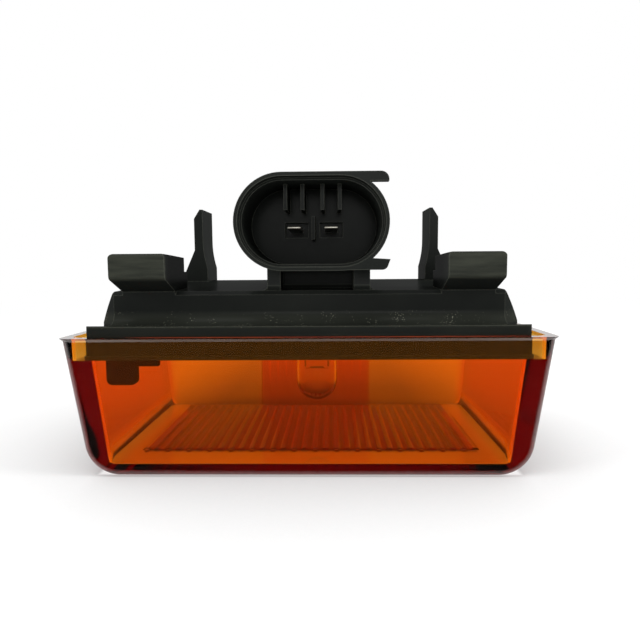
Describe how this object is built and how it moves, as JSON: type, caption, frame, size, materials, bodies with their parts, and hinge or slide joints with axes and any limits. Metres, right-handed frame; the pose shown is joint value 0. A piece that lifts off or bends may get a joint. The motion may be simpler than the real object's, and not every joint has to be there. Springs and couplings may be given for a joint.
{
  "type": "marker lamp",
  "caption": "Marker lamp: rectangular amber tray lens with a fluted face, black clip-in back housing with hooks, prongs and an oval plug socket, wedge bulb inside.",
  "frame": {"origin": "centre of the lens's flat front face, on which the lamp lies", "axes": "+X along the long side, +Y away from the plug socket's mouth, +Z from the lens face to the back"},
  "size_m": [0.1018, 0.062, 0.0624],
  "materials": {
    "amber_lens": "clear amber, polished",
    "seal_rubber": "matt",
    "black_moulding": "satin moulded",
    "contact_brass": "tinned, bright",
    "bulb_glass": "clear",
    "bulb_wire": "drawn"
  },
  "bodies": {
    "root": {"lens": "amber_lens", "lens_seal": "seal_rubber", "housing": "black_moulding", "contact_left": "contact_brass", "contact_right": "contact_brass", "bulb_glass": "bulb_glass", "bulb_lead_left": "bulb_wire", "bulb_lead_right": "bulb_wire", "bulb_filament": "bulb_wire"}
  },
  "joints": []
}
